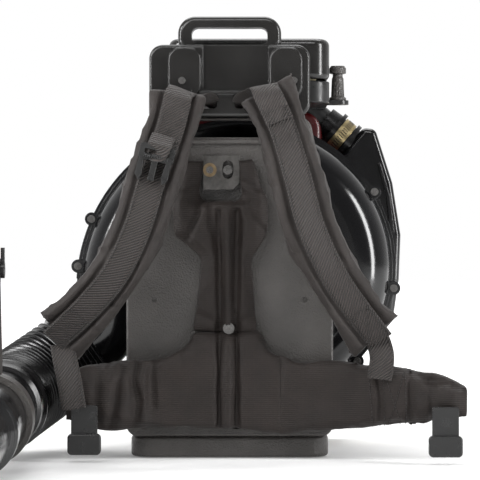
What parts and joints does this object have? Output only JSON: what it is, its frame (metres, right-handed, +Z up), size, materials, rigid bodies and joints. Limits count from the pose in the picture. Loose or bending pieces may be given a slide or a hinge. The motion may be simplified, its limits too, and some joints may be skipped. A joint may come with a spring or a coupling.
{
  "type": "leaf blower",
  "caption": "Backpack leaf blower: two-stroke engine and spiral fan housing on a frame with padded harness, corrugated hose and hand-held pipe.",
  "frame": {"origin": "centre of the base's underside, in line with the frame's middle", "axes": "+Z up, -Y towards the wearer's back, so the pipe points along -Y and the wearer's right hand is at -X"},
  "size_m": [0.5976, 1.3644, 0.512],
  "materials": {
    "frame_plastic": "fine moulded grain",
    "gloss_shell": "glossy, lightly orange-peeled",
    "small_plastic": "satin",
    "stop_red": "satin",
    "red_cover": "glossy dark red",
    "tank_plastic": "translucent off-white",
    "hose_rubber": "semi-gloss",
    "steel": "zinc plated",
    "brass": "dull",
    "cast_alloy": "die cast",
    "impeller_plastic": "glass-filled nylon",
    "dark_steel": "heat-stained black",
    "filter_foam": "pleated paper",
    "pad_fabric": "ripstop nylon over foam",
    "strap_fabric": "woven polyester over foam",
    "webbing": "ribbed webbing",
    "rope": "braided nylon"
  },
  "bodies": {
    "pack": {"base_foot": "frame_plastic", "back_plate": "frame_plastic", "yoke": "gloss_shell", "hanger_plate": "steel", "brass_grommet": "brass", "frame_screws": "steel", "back_pad": "pad_fabric", "hip_belt": "pad_fabric", "shoulder_pad_left": "strap_fabric", "shoulder_pad_right": "strap_fabric", "webbing_left": "webbing", "webbing_right": "webbing", "side_release_buckle": "small_plastic", "adjuster_tails": "webbing", "belt_buckles": "small_plastic", "volute_front": "gloss_shell", "volute_rear": "gloss_shell", "volute_screws": "steel", "intake_grille": "frame_plastic", "outlet_collar": "frame_plastic", "av_mounts": "hose_rubber", "crankcase": "cast_alloy", "main_bearings": "steel", "cylinder": "cast_alloy", "piston": "cast_alloy", "spark_plug": "steel", "ignition_coil": "dark_steel", "muffler": "dark_steel", "muffler_guard": "steel", "carburettor": "cast_alloy", "engine_cover": "red_cover", "starter_housing": "gloss_shell", "fuel_tank": "tank_plastic", "air_cleaner_body": "frame_plastic", "air_cleaner_cover": "gloss_shell", "filter_element": "filter_foam", "intake_elbow": "hose_rubber", "intake_clamp": "steel", "side_box": "gloss_shell"},
    "rotor": {"impeller": "impeller_plastic", "crankshaft": "steel", "flywheel": "cast_alloy"},
    "recoil_pulley": {"starter_pulley": "impeller_plastic"},
    "recoil_handle": {"starter_handle": "frame_plastic", "starter_rope": "rope"},
    "carb_lever": {"throttle_lever": "steel"},
    "choke": {"choke_lever": "small_plastic"},
    "primer": {"primer_bulb": "hose_rubber"},
    "tank_cap": {"fuel_cap": "frame_plastic"},
    "cleaner_knob": {"air_cleaner_knob": "frame_plastic"},
    "elbow": {"outlet_elbow": "gloss_shell", "hose": "hose_rubber"},
    "cuff": {"hose_cuff": "frame_plastic"},
    "pipe": {"swivel_pipe": "gloss_shell", "straight_pipe": "gloss_shell", "nozzle": "gloss_shell", "control_handle": "frame_plastic"},
    "trigger": {"throttle_trigger": "small_plastic"},
    "cruise": {"cruise_lever": "small_plastic"},
    "stop": {"stop_switch": "stop_red"}
  },
  "joints": [
    {"name": "fan_spin", "type": "hinge", "parent": "pack", "child": "rotor", "pos_m": [0.03, 0, 0.206], "axis": [0, 1, 0], "continuous": true},
    {"name": "starter_pull", "type": "slide", "parent": "pack", "child": "recoil_handle", "axis": [1, 0, 0], "range_m": [0, 0.7], "stiffness_N_per_m": 25, "springref_m": -0.2, "deforming": ["starter_rope"]},
    {"name": "pulley_turn", "type": "hinge", "parent": "pack", "child": "recoil_pulley", "pos_m": [0.03, 0.129, 0.206], "axis": [0, 1, 0], "range_deg": [0, 1350]},
    {"name": "carb_throttle", "type": "hinge", "parent": "pack", "child": "carb_lever", "pos_m": [0.096, 0.039, 0.276], "axis": [0, 1, 0], "range_deg": [0, 60]},
    {"name": "choke_turn", "type": "hinge", "parent": "pack", "child": "choke", "pos_m": [0.164, 0.11, 0.292], "axis": [0, 1, 0], "range_deg": [0, 70]},
    {"name": "primer_press", "type": "slide", "parent": "pack", "child": "primer", "axis": [0, -1, 0], "range_m": [0, 0.005], "stiffness_N_per_m": 400, "springref_m": -0.001},
    {"name": "fuel_cap_turn", "type": "hinge", "parent": "pack", "child": "tank_cap", "pos_m": [0.118, 0.122, 0.112], "axis": [0, 0, 1], "range_deg": [0, 540]},
    {"name": "cleaner_knob_turn", "type": "hinge", "parent": "pack", "child": "cleaner_knob", "pos_m": [0.129, -0.045, 0.42], "axis": [0, 0, 1], "range_deg": [0, 360]},
    {"name": "elbow_swing", "type": "hinge", "parent": "pack", "child": "elbow", "pos_m": [-0.142, -0.04, 0.18], "axis": [0, 0, 1], "range_deg": [-45, 0]},
    {"name": "hose_lift", "type": "hinge", "parent": "elbow", "child": "cuff", "pos_m": [-0.24962, -0.116, 0.068], "axis": [-1, 0, 0], "range_deg": [0, 36], "deforming": ["hose"]},
    {"name": "pipe_twist", "type": "hinge", "parent": "cuff", "child": "pipe", "pos_m": [-0.26162, -0.17999, 0.06171], "axis": [0, -0.9997, -0.0253], "range_deg": [-60, 60]},
    {"name": "trigger_squeeze", "type": "hinge", "parent": "pipe", "child": "trigger", "pos_m": [-0.26162, -0.35184, 0.21141], "axis": [1, 0, 0], "range_deg": [0, 11.5], "stiffness_Nm_per_rad": 0.35, "springref_deg": -17.19},
    {"name": "cruise_turn", "type": "hinge", "parent": "pipe", "child": "cruise", "pos_m": [-0.24462, -0.34004, 0.21971], "axis": [1, 0, 0], "range_deg": [0, 60]},
    {"name": "stop_press", "type": "slide", "parent": "pipe", "child": "stop", "axis": [0, 0.9997, 0.0253], "range_m": [0, 0.004]}
  ],
  "couplings": [
    {"joint": "pulley_turn", "follows": "starter_pull", "rad_per_m": 33.3},
    {"joint": "carb_throttle", "follows": "trigger_squeeze", "ratio": 5.1}
  ]
}
